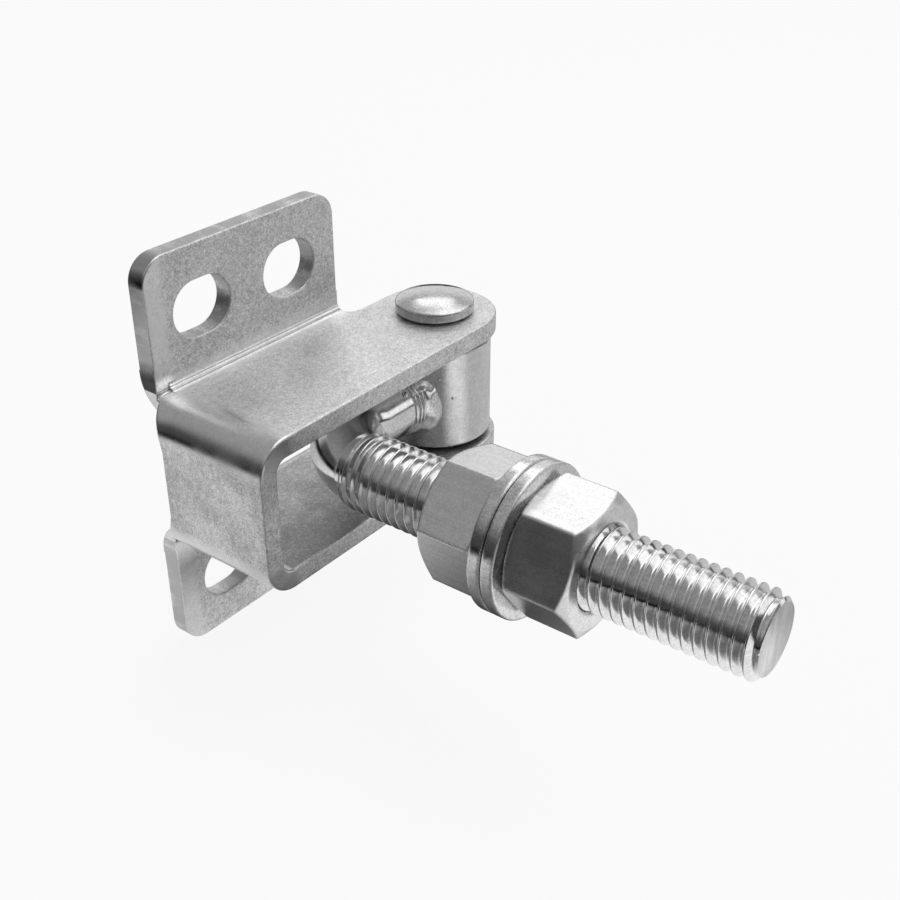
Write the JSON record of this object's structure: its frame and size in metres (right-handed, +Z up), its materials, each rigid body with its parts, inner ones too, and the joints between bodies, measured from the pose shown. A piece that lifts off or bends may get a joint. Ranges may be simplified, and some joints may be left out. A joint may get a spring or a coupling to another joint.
{
  "type": "adjustable gate hinge",
  "caption": "Adjustable gate hinge: folded wall bracket with slots, a barrel that swings on a pin, and a bent threaded stud with nuts and washers.",
  "frame": {"origin": "centre of the four wall slots, on the plane of the wall", "axes": "+Z up along the hinge pin, +X along the wall towards the pin, +Y into the wall; the stud points out along -Y"},
  "size_m": [0.091, 0.1377, 0.098],
  "materials": {
    "plated_sheet": "zinc plated, satin and finely speckled",
    "plated_pin": "zinc plated, satin turned",
    "spring_steel": "dark phosphated",
    "plated_barrel": "zinc plated, satin turned",
    "bush_black": "moulded, matte",
    "plated_bolt": "zinc plated, bright, rolled thread",
    "plated_weld": "rippled weld under zinc plate",
    "plated_nut": "zinc plated, bright, drawn flats",
    "plated_washer": "zinc plated, bright, stamped"
  },
  "bodies": {
    "bracket": {"bracket": "plated_sheet", "hinge_pin": "plated_pin", "retaining_ring": "spring_steel"},
    "leaf": {"barrel": "plated_barrel", "upper_bush": "bush_black", "lower_bush": "bush_black", "hinge_bolt": "plated_bolt", "weld_bead": "plated_weld"},
    "inner_washer": {"inner_washer": "plated_washer"},
    "inner_nut": {"inner_nut": "plated_nut"},
    "outer_washer": {"outer_washer": "plated_washer"},
    "outer_nut": {"outer_nut": "plated_nut"}
  },
  "joints": [
    {"name": "gate_swing", "type": "hinge", "parent": "bracket", "child": "leaf", "pos_m": [0.043, -0.024, 0], "axis": [0, 0, 1], "range_deg": [0, 180]},
    {"name": "inner_washer_slide", "type": "slide", "parent": "leaf", "child": "inner_washer", "axis": [0, 1, 0], "range_m": [0, 0.0225]},
    {"name": "inner_nut_turn", "type": "hinge", "parent": "inner_washer", "child": "inner_nut", "pos_m": [-0.0023, -0.0832, 0], "axis": [0, 1, 0], "range_deg": [0, 3240]},
    {"name": "outer_washer_slide", "type": "slide", "parent": "leaf", "child": "outer_washer", "axis": [0, -1, 0], "range_m": [0, 0.0325]},
    {"name": "outer_nut_turn", "type": "hinge", "parent": "outer_washer", "child": "outer_nut", "pos_m": [-0.0023, -0.0832, 0], "axis": [0, -1, 0], "range_deg": [0, 4680]}
  ],
  "couplings": [
    {"joint": "inner_washer_slide", "follows": "inner_nut_turn", "m_per_rad": 0.00039789},
    {"joint": "outer_washer_slide", "follows": "outer_nut_turn", "m_per_rad": 0.00039789}
  ]
}
